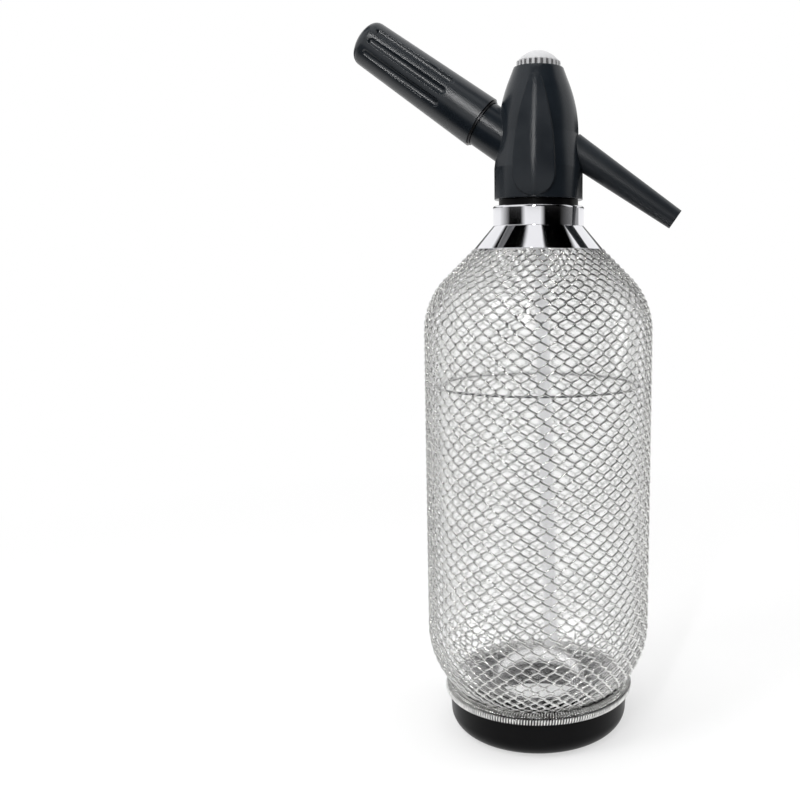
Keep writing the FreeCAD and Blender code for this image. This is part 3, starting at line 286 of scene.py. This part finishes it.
MATERIALS = {
    "base_cup": BASE_BLACK, "bottle_cushion": BASE_BLACK, "neck_ferrule": CHROME,
    "neck_bush": BASE_BLACK, "lip_gasket": SEAL_BLACK, "riser_flange": INNER, "riser_tube": TUBE,
    "head_seal": SEAL_BLACK, "head_body": BODY_BLACK, "spout": SPOUT_BLACK,
    "spout_seal": SEAL_BLACK, "valve_seat": BRASS, "stem_seal": SEAL_BLACK, "stem_guide": INNER,
    "valve_stem": STEEL, "valve_disc": SEAL_BLACK, "disc_retainer": BRASS, "push_button": BUTTON,
    "button_plunger": INNER, "return_spring": STEEL, "charger_nipple": BRASS,
    "piercing_pin": STEEL, "charger_gasket": SEAL_BLACK, "check_sleeve": SEAL_BLACK,
    "holder_washer": WASHER_SHADE, "gas_charger": STEEL, "holder_sleeve": HOLDER_BLACK,
    "holder_insert": BRASS, "glass_bottle": GLASS, "mesh_sleeve": WIRE, "garter_spring": WIRE,
}
for name, material in MATERIALS.items():
    slots = nodes[name].data.materials
    slots.clear()
    slots.append(material)


# ---------------------------------------------------------------- mesh helpers
def add_mesh(name, points, faces, material, body):
    """A smooth-shaded piece that rides a body."""
    mesh = bpy.data.meshes.new(name)
    mesh.from_pydata([tuple(p) for p in points], [], [tuple(f) for f in faces])
    mesh.polygons.foreach_set("use_smooth", [True] * len(mesh.polygons))
    mesh.materials.append(material)
    mesh.update()
    piece = link_object(name, mesh)
    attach(piece, body)
    return piece


def tube_faces(rings, sides, offset=0, closed=False):
    """Quads that join rings of vertices along a tube."""
    ring = np.arange(rings if closed else rings - 1)[:, None] * sides
    side = np.arange(sides)[None, :]
    nxt = (side + 1) % sides
    up = (ring + sides) % (rings * sides)
    quads = np.stack([ring + side, ring + nxt, up + nxt, up + side], axis=-1)
    return quads.reshape(-1, 4) + offset


def tube_points(path, radius, sides, closed=False):
    """Rings of vertices round a path of points, with no twist to speak of."""
    if closed:
        ahead, behind = np.roll(path, -1, axis=0), np.roll(path, 1, axis=0)
    else:
        ahead = np.vstack([path[1:], 2 * path[-1] - path[-2]])
        behind = np.vstack([2 * path[0] - path[1], path[:-1]])
    tangent = ahead - behind
    tangent /= np.linalg.norm(tangent, axis=1, keepdims=True)
    # The small height keeps the two directions apart where the path runs straight outwards.
    outward = path * np.array([1, 1, 0]) + np.array([0, 0, 1e-6])
    first = np.cross(tangent, outward)
    first[np.linalg.norm(first, axis=1) < 1e-9] = (1, 0, 0)
    first /= np.linalg.norm(first, axis=1, keepdims=True)
    second = np.cross(tangent, first)
    angle = np.arange(sides) * 2 * math.pi / sides
    rings = (
        path[:, None, :]
        + radius * np.cos(angle)[None, :, None] * first[:, None, :]
        + radius * np.sin(angle)[None, :, None] * second[:, None, :]
    )
    return rings.reshape(-1, 3)


def turned_faces(turns, rows):
    """Quads between the turns of a closed turned surface, each with its rows of vertices."""
    faces = []
    for turn in range(turns):
        here, there = turn * rows, (turn + 1) % turns * rows
        for row in range(rows - 1):
            faces.append((here + row, there + row, there + row + 1, here + row + 1))
    return faces


def lathe(name, outline, material, body):
    """A solid of revolution round the bottle's axis, from (radius, height) in millimetres."""
    turns = 160
    outline = np.array(outline, float) * MM
    angle = np.arange(turns) * 2 * math.pi / turns
    points = np.stack([
        np.outer(np.cos(angle), outline[:, 0]),
        np.outer(np.sin(angle), outline[:, 0]),
        np.outer(np.ones(turns), outline[:, 1]),
    ], axis=-1).reshape(-1, 3)
    return add_mesh(name, points, turned_faces(turns, len(outline)), material, body)


# ---------------------------------------------------------------- woven sleeve
# The bottle's outer wall, in millimetres: an arc at the heel, an upright side, an arc at the
# shoulder and a cone up to the neck. Each arc has the radius and height of its centre.
HEEL_CENTRE, HEEL_TOP, HEEL_RADIUS = 14.4, 49.898, 36.0
SHOULDER_CENTRE, SHOULDER_FOOT, SHOULDER_RADIUS = 17.4, 187.998, 33.0
# The middle of the sleeve runs this far outside the glass.
OFFSET = 1.2
HEEL_TURN, SHOULDER_TURN = HEEL_RADIUS + OFFSET, SHOULDER_RADIUS + OFFSET
HEEL_SWEEP = math.radians(58)
SIDE_LENGTH = SHOULDER_FOOT - HEEL_TOP
CONE_LENGTH = 17.5
SLEEVE_RADIUS = HEEL_CENTRE + HEEL_TURN
HALF_THICKNESS = 0.9
WIRE_RADIUS, WIRE_SIDES = 0.44, 6
CELLS, CELL_HEIGHT = 46, 6.15
STEPS_PER_CELL = 12
# Share of the wire's thickness that a spiral reaches past its half pitch, and how unevenly in mm.
HOOK, UNEVEN = 0.40, 0.02
# The spirals lean sideways by this share of their height, measured from this height.
LEAN, UPRIGHT_HEIGHT = 0.052, 100


def wall_at(distance):
    """Radius, height and slope of the sleeve's centre line, at distances from its lower end."""
    side_foot = HEEL_TURN * HEEL_SWEEP
    side_top = side_foot + SIDE_LENGTH
    cone_foot = side_top + SHOULDER_TURN * math.pi / 4
    radius, height, slope = (np.zeros_like(distance) for _ in range(3))
    part = distance < side_foot
    angle = -HEEL_SWEEP + distance[part] / HEEL_TURN
    radius[part] = HEEL_CENTRE + HEEL_TURN * np.cos(angle)
    height[part] = HEEL_TOP + HEEL_TURN * np.sin(angle)
    slope[part] = angle
    part = (distance >= side_foot) & (distance < side_top)
    radius[part] = SLEEVE_RADIUS
    height[part] = HEEL_TOP + distance[part] - side_foot
    part = (distance >= side_top) & (distance < cone_foot)
    angle = (distance[part] - side_top) / SHOULDER_TURN
    radius[part] = SHOULDER_CENTRE + SHOULDER_TURN * np.cos(angle)
    height[part] = SHOULDER_FOOT + SHOULDER_TURN * np.sin(angle)
    slope[part] = angle
    part = distance >= cone_foot
    run = distance[part] - cone_foot
    radius[part] = SHOULDER_CENTRE + (SHOULDER_TURN - run) * math.cos(math.pi / 4)
    height[part] = SHOULDER_FOOT + (SHOULDER_TURN + run) * math.sin(math.pi / 4)
    slope[part] = math.pi / 4
    return radius, height, slope


def make_sleeve():
    """Flat spirals of wire that run up the bottle, each hooked into its two neighbours."""
    rng = np.random.default_rng(7)
    length = HEEL_TURN * HEEL_SWEEP + SIDE_LENGTH + SHOULDER_TURN * math.pi / 4 + CONE_LENGTH
    steps = int(length / CELL_HEIGHT * STEPS_PER_CELL)
    distance = np.linspace(0, length, steps)
    radius, height, slope = wall_at(distance)
    spirals = 2 * CELLS
    pitch = 2 * math.pi * radius / spirals
    lean = LEAN * (height - UPRIGHT_HEIGHT) / SLEEVE_RADIUS
    for group in range(2):
        points, faces = [], []
        for index in range(group, spirals, 2):
            turn = 2 * math.pi * distance / CELL_HEIGHT + math.pi * index
            reach = pitch / 2 + HOOK * 2 * WIRE_RADIUS + rng.normal(0, UNEVEN)
            around = 2 * math.pi * index / spirals + reach * np.cos(turn) / radius + lean
            out = (HALF_THICKNESS - WIRE_RADIUS) * np.sin(turn)
            wall = radius + out * np.cos(slope)
            path = np.stack([
                wall * np.cos(around),
                wall * np.sin(around),
                height + out * np.sin(slope),
            ], axis=-1) * MM
            faces.append(tube_faces(steps, WIRE_SIDES, len(points) * steps * WIRE_SIDES))
            points.append(tube_points(path, WIRE_RADIUS * MM, WIRE_SIDES))
        name = f"woven_wire_{group}"
        piece = add_mesh(name, np.vstack(points), np.vstack(faces), WIRE, "bottle")
        if group == 0:
            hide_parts("mesh_sleeve")


# ---------------------------------------------------------------- springs
def make_garter():
    """Close-coiled spring that gathers the sleeve's foot on the base."""
    low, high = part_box("garter_spring")
    coil_radius = (high.z - low.z) / 2 / MM
    centre = (high.x - low.x) / 2 / MM - coil_radius
    middle = (high.z + low.z) / 2 / MM
    wire, turns, steps = 0.43, 216, 14
    angle = np.arange(turns * steps) * 2 * math.pi / (turns * steps)
    coil = angle * turns
    radius = centre + (coil_radius - wire) * np.cos(coil)
    path = np.stack([
        radius * np.cos(angle),
        radius * np.sin(angle),
        middle + (coil_radius - wire) * np.sin(coil),
    ], axis=-1) * MM
    points = tube_points(path, wire * MM, WIRE_SIDES, closed=True)
    faces = tube_faces(len(path), WIRE_SIDES, closed=True)
    piece = add_mesh("garter_coil", points, faces, WIRE, "bottle")
    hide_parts("garter_spring")


def make_spring():
    """The button's spring, copied onto a mesh of its own; nothing here shortens it as the button
    goes down.
    """
    coil = link_object("spring_coil", nodes["return_spring"].data.copy())
    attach(coil, "head")
    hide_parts("return_spring")
    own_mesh(coil)


# ---------------------------------------------------------------- charger holder
# The axis leans up from the level; the mouth lies out along it from where it meets the bottle's.
HOLDER_LEAN = math.radians(34.8)
MEETING_HEIGHT, MOUTH_OUT = 263.767, 31.5
# Radii at the mouth and at the closed end, with the length of the side between them.
MOUTH_RADIUS, END_RADIUS, HOLDER_SIDE = 12.0, 10.35, 61.0
# The closed end: a small arc that turns by an angle, and then a cap.
CORNER_RADIUS, CORNER_TURN = 4.0, math.radians(62)
CAP_WALL = 2.4
POCKET_RADIUS, POCKET_DEPTH, BORE_RADIUS = 11.3, 9.6, 9.2
# Grooves cut by a ball-ended cutter: its radius, how far out it runs, and from where to where.
FLUTE_RADIUS, FLUTE_OUT, FLUTE_START, FLUTE_END = 2.0, 11.7, 20.1, 58.1
FLUTE_MIDDLES = (-25, 6, 37, 155, 186, 217)


def holder_outline():
    """(radius, height) round half a lengthwise section of the holder's sleeve, and its side rows.

    The side's rows lie close together at the ends of the flutes."""
    axis = (END_RADIUS - CORNER_RADIUS) / math.cos(CORNER_TURN)
    cap, centre = axis + CORNER_RADIUS, HOLDER_SIDE - axis * math.sin(CORNER_TURN)
    stations = np.concatenate([
        [0.0, 0.3, 6, 12, 16, 17.5], np.arange(18.0, 20.6, 0.15), np.linspace(21, 57, 19),
        np.arange(57.6, 60.3, 0.15), [60.6, HOLDER_SIDE],
    ])
    outline = [(POCKET_RADIUS, 0.0)]
    for station in stations:
        radius = MOUTH_RADIUS + (END_RADIUS - MOUTH_RADIUS) * station / HOLDER_SIDE
        outline.append((radius, station))
    for angle in np.linspace(0, CORNER_TURN, 9)[1:]:
        outline.append((END_RADIUS - CORNER_RADIUS + CORNER_RADIUS * math.cos(angle),
                        HOLDER_SIDE + CORNER_RADIUS * math.sin(angle)))
    for angle in np.linspace(CORNER_TURN, math.pi / 2, 10)[1:]:
        outline.append((max(cap * math.cos(angle), 0.0), centre + cap * math.sin(angle)))
    inner = centre + cap - CAP_WALL - BORE_RADIUS
    for angle in np.linspace(math.pi / 2, 0, 9):
        outline.append((max(BORE_RADIUS * math.cos(angle), 0.0),
                        inner + BORE_RADIUS * math.sin(angle)))
    outline += [(BORE_RADIUS, POCKET_DEPTH), (POCKET_RADIUS, POCKET_DEPTH), (POCKET_RADIUS, 0.0)]
    return np.array(outline), slice(1, 1 + len(stations))


def make_holder():
    """The holder's sleeve on a grid that is fine across its flutes."""
    outline, side = holder_outline()
    fine_start, fine_end, fine_step, coarse_step = -38, 50, 0.75, 4.0
    half = np.concatenate([
        np.arange(fine_start, fine_end, fine_step),
        np.arange(fine_end, fine_start + 180, coarse_step),
    ])
    turn = np.radians(np.concatenate([half, half + 180]))
    radius = np.tile(outline[:, 0], (len(turn), 1))
    height = outline[side, 1]
    beyond = height - np.clip(height, FLUTE_START, FLUTE_END)
    for middle in FLUTE_MIDDLES:
        across = FLUTE_OUT * np.sin(turn - math.radians(middle))[:, None]
        ahead = FLUTE_OUT * np.cos(turn - math.radians(middle))[:, None]
        section = FLUTE_RADIUS ** 2 - beyond ** 2 - across ** 2
        cut = (section > 0) & (ahead > 0)
        floor = ahead - np.sqrt(np.where(cut, section, 0))
        radius[:, side] = np.where(cut, np.minimum(radius[:, side], floor), radius[:, side])
    outwards = np.array([-math.cos(HOLDER_LEAN), 0, math.sin(HOLDER_LEAN)])
    upwards = np.array([math.sin(HOLDER_LEAN), 0, math.cos(HOLDER_LEAN)])
    points = (
        np.array([0, 0, MEETING_HEIGHT]) + MOUTH_OUT * outwards
        + outline[None, :, 1, None] * outwards
        + (radius * np.sin(turn)[:, None])[:, :, None] * upwards
        - (radius * np.cos(turn)[:, None])[:, :, None] * np.array([0, 1, 0])
    ).reshape(-1, 3) * MM
    faces = turned_faces(len(turn), len(outline))
    piece = add_mesh("holder_grip", points, faces, HOLDER_BLACK, "holder")
    piece.data.set_sharp_from_angle(angle=math.radians(70))
    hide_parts("holder_sleeve")


# ---------------------------------------------------------------- glass
GLASS_WALL = 4.5
# The hollow under the bottle: its radius, the height of its centre and the radius of its rim.
HOLLOW_RADIUS, HOLLOW_CENTRE, HOLLOW_EDGE = 24.286, 5.614, 22
# The floor over it: its wall, and the height where it meets the inside of the heel.
FLOOR_WALL, FLOOR_FOOT = 5, 20.154
# Degrees at which the heel's arc starts, below the level.
HEEL_START = -70.8
NECK_RADIUS, THREAD_RADIUS, MOUTH_BORE, LIP = 14.5, 15.5, 10.3, 255.967
# Where the thread starts, is full, is full for the last time and ends.
THREAD_HEIGHTS = (248.4, 249.4, 254.4, 255.3)
NECK_BLEND, BLEND_HEIGHT = 8, 237.567 + 3.314
LIP_BEVEL = 0.3
THROAT_RISE, THROAT_RADIUS = 1.5, 11.2


def arc(centre, radius, start, end, count):
    """(radius, height) along an arc that stays off the far side of the axis, in degrees."""
    angles = np.radians(np.linspace(start, end, count))
    return [
        (max(centre[0] + radius * math.cos(angle), 0.0), centre[1] + radius * math.sin(angle))
        for angle in angles
    ]


def make_glass():
    """The bottle as a fine turned surface with the CAD node's own outline."""
    heel, shoulder = (HEEL_CENTRE, HEEL_TOP), (SHOULDER_CENTRE, SHOULDER_FOOT)
    hollow = (0, HOLLOW_CENTRE)
    edge = math.degrees(math.asin(HOLLOW_EDGE / HOLLOW_RADIUS))
    outline = arc(hollow, HOLLOW_RADIUS, 90, 90 - edge, 24)
    outline += arc(heel, HEEL_RADIUS, HEEL_START, 0, 30)
    outline += arc(shoulder, SHOULDER_RADIUS, 0, 45, 20)
    outline += arc((NECK_RADIUS + NECK_BLEND, BLEND_HEIGHT), NECK_BLEND, 225, 180, 10)
    thread_radii = (NECK_RADIUS, THREAD_RADIUS, THREAD_RADIUS, NECK_RADIUS)
    outline += zip(thread_radii, THREAD_HEIGHTS)
    outline += [
        (NECK_RADIUS, LIP - LIP_BEVEL), (NECK_RADIUS - LIP_BEVEL, LIP),
        (MOUTH_BORE + LIP_BEVEL, LIP), (MOUTH_BORE, LIP - LIP_BEVEL),
    ]
    inner = SHOULDER_RADIUS - GLASS_WALL
    # On the inner cone, radius and height add up to this.
    cone = SHOULDER_CENTRE + SHOULDER_FOOT + 2 * inner * math.cos(math.pi / 4)
    outline += [
        (MOUTH_BORE, cone - MOUTH_BORE + THROAT_RISE),
        (THROAT_RADIUS, cone - THROAT_RADIUS),
    ]
    outline += arc(shoulder, inner, 45, 0, 20)
    outline += arc(heel, HEEL_RADIUS - GLASS_WALL, 0, HEEL_START, 30)
    crown, rise = HOLLOW_RADIUS + FLOOR_WALL, FLOOR_FOOT - HOLLOW_CENTRE
    start = math.degrees(math.asin(rise / crown))
    outline += arc(hollow, crown, start, 90, 24)
    piece = lathe("glass_shell", outline, GLASS, "bottle")
    piece.visible_shadow = False
    piece.visible_diffuse = False
    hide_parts("glass_bottle")


def make_meniscus_shade():
    """Painted shade: a near-black ring on the inside of the glass, where the water's surface would
    show as a dark line; there is no water.
    """
    inside, outside, foot, top = 45.4, 45.88, 163.2, 164.1
    outline = [(inside, foot), (outside, foot), (outside, top), (inside, top), (inside, foot)]
    lathe("meniscus_shade", outline, MENISCUS_SHADE, "bottle")


make_sleeve()
make_garter()
make_spring()
make_holder()
make_glass()
make_meniscus_shade()


# ---------------------------------------------------------------- studio
def seen_rays(tree):
    """1 for rays that see the background, 0 for rays that light things."""
    paths = tree.nodes.new("ShaderNodeLightPath").outputs
    result = paths["Is Camera Ray"]
    for name in ("Is Glossy Ray", "Is Transmission Ray"):
        result = combine(tree, "MAXIMUM", result, paths[name])
    return result


def make_floor():
    """Pale floor that keeps the shadow near the object and fades to plain white."""
    half, share = 4.0, 0.45
    material, tree, inputs = new_material("floor")
    inputs["Base Color"].default_value = (share, share, share, 1)
    inputs["Roughness"].default_value = 0.9
    inputs["Specular IOR Level"].default_value = 0
    inputs["Emission Color"].default_value = (1, 1, 1, 1)
    seen = seen_rays(tree)
    tree.links.new(spread(tree, seen, 0.0, 1.0 - share, 0, 1), inputs["Emission Strength"])
    far = tree.nodes.new("ShaderNodeEmission")
    tree.links.new(seen, far.inputs["Strength"])
    fade = spread(tree, length_of(tree, place(tree)), 0.0, 1.0, 0.15, 0.6)
    mix_shaders(tree, fade, tree.nodes["Principled BSDF"].outputs[0], far.outputs[0])
    mesh = bpy.data.meshes.new("floor")
    corners = [(-half, -half, 0), (half, -half, 0), (half, half, 0), (-half, half, 0)]
    mesh.from_pydata(corners, [], [(0, 1, 2, 3)])
    mesh.materials.append(material)
    floor = link_object("floor", mesh)
    floor.location.z = -0.0002


def make_world():
    """White to the eye, and dimmer as a light."""
    world = bpy.data.worlds.new("studio")
    scene.world = world
    world.use_nodes = True
    tree = world.node_tree
    background = tree.nodes["Background"].inputs
    background["Color"].default_value = (1, 1, 1, 1)
    tree.links.new(spread(tree, seen_rays(tree), 0.55, 1.0, 0, 1), background["Strength"])


def area(name, location, target, size, power, glossy=False):
    """A rectangular lamp that faces a target; a glossy one shows in reflections."""
    data = bpy.data.lights.new(name, "AREA")
    data.shape = "RECTANGLE"
    data.size, data.size_y = size
    data.energy = power
    lamp = link_object(name, data)
    lamp.location = location
    lamp.rotation_euler = (Vector(target) - Vector(location)).to_track_quat("-Z", "Y").to_euler()
    lamp.visible_glossy = glossy


def flag_material(name, across, upward):
    """Black whose opacity follows (share, opacity) stops over the flag's width and height."""
    material, tree, _ = new_material(name)
    tree.nodes.remove(tree.nodes["Principled BSDF"])
    shares = parts_of(tree, tree.nodes.new("ShaderNodeTexCoord").outputs["UV"])
    opacities = []
    for axis, stops in (("X", across), ("Y", upward)):
        ramp = tree.nodes.new("ShaderNodeValToRGB")
        elements = ramp.color_ramp.elements
        while len(elements) < len(stops):
            elements.new(0.5)
        for element, (share, opacity) in zip(elements, stops):
            element.position = share
            element.color = (opacity, opacity, opacity, 1)
        tree.links.new(shares[axis], ramp.inputs["Fac"])
        opacities.append(ramp.outputs["Color"])
    clear = tree.nodes.new("ShaderNodeBsdfTransparent")
    black = tree.nodes.new("ShaderNodeEmission")
    black.inputs["Strength"].default_value = 0
    opacity = combine(tree, "MULTIPLY", *opacities)
    mix_shaders(tree, opacity, clear.outputs[0], black.outputs[0])
    return material


def dark_flag(name, low_side, high_side, foot, top, across, upward, reach=0.8):
    """Black screen with soft edges round the object, which only reflections see.

    It is part of a sphere round the ferrule. Foot and top are angles above the level. Each side
    has two bearings from the camera's direction, one at the foot and one at the top."""
    steps, centre_height = 24, 0.24
    ahead = Vector((math.sin(VIEW_AZIMUTH), -math.cos(VIEW_AZIMUTH), 0))
    right = Vector((math.cos(VIEW_AZIMUTH), math.sin(VIEW_AZIMUTH), 0))
    points, shares, faces = [], [], []
    for row in range(steps + 1):
        share = row / steps
        lift = math.radians(foot + (top - foot) * share)
        first = low_side[0] + (low_side[1] - low_side[0]) * share
        last = high_side[0] + (high_side[1] - high_side[0]) * share
        for column in range(steps + 1):
            bearing = math.radians(first + (last - first) * column / steps)
            level = ahead * math.cos(bearing) + right * math.sin(bearing)
            points.append(level * reach * math.cos(lift)
                          + Vector((0, 0, centre_height + reach * math.sin(lift))))
            shares.append((column / steps, share))
    for row in range(steps):
        for column in range(steps):
            corner = row * (steps + 1) + column
            faces.append((corner, corner + 1, corner + steps + 2, corner + steps + 1))
    mesh = bpy.data.meshes.new(name)
    mesh.from_pydata(points, [], faces)
    layer = mesh.uv_layers.new(name="share")
    for loop in mesh.loops:
        layer.data[loop.index].uv = shares[loop.vertex_index]
    mesh.materials.append(flag_material(name, across, upward))
    flag = link_object(name, mesh)
    flag.visible_camera = False
    flag.visible_diffuse = False
    flag.visible_transmission = False
    flag.visible_shadow = False


def soft(start, end):
    """Stops for a flag that is black between two shares and fades to clear at both ends."""
    return [(0, 0), (start, 1), (end, 1), (1, 0)]


make_floor()
make_world()
area("key", (-0.9, -0.8, 1.2), (0, 0, 0.2), (0.5, 0.9), 8)
area("fill", (1.15, 0.3, 0.5), (0, 0, 0.2), (0.4, 0.9), 4)
area("top", (-0.1, -0.1, 1.4), (0, 0, 0.2), (0.7, 0.5), 4)
area("front strip", (-0.066, -0.58, 0.57), (0, 0, 0.28), (0.03, 0.5), 1.6, glossy=True)
FULL = [(0, 1), (1, 1)]
# What the ferrule's upright band reflects.
dark_flag("flag_band_left", (-112, -112), (-32, -32), -14, 5.2, soft(0.45, 0.85), soft(0.12, 0.95))
dark_flag("flag_band_right", (4, 4), (122, 122), -14, 5.2,
          [(0, 0), (0.1, 1), (0.42, 1), (0.95, 0.65), (1, 0)], soft(0.12, 0.95))
# What the ferrule's cone reflects.
dark_flag("flag_cone_left", (-150, -115), (-105, -60), 41, 76, soft(0.12, 0.88), soft(0.12, 0.88))
dark_flag("flag_cone_right", (85, 15), (140, 105), 52, 86, soft(0.12, 0.88), soft(0.12, 0.88))
# What the front and the back of the head reflect.
dark_flag("flag_leaf", (-38, -50), (82, 96), 3.8, 66, soft(0.12, 0.88), soft(0.02, 0.85))
dark_flag("flag_back", (122, 122), (264, 264), 3.8, 18, soft(0.05, 0.95), soft(0.06, 0.6))
dark_flag("flag_low", (-180, -180), (180, 180), -16.5, -85, FULL, FULL)
# What the bottle's wires and the undersides of holder and spout reflect.
dark_flag("flag_bottle", (-100, -100), (100, 100), -40, -2.5, soft(0.1, 0.9), soft(0.15, 0.95),
          reach=0.3)

scene.view_settings.view_transform = "Standard"
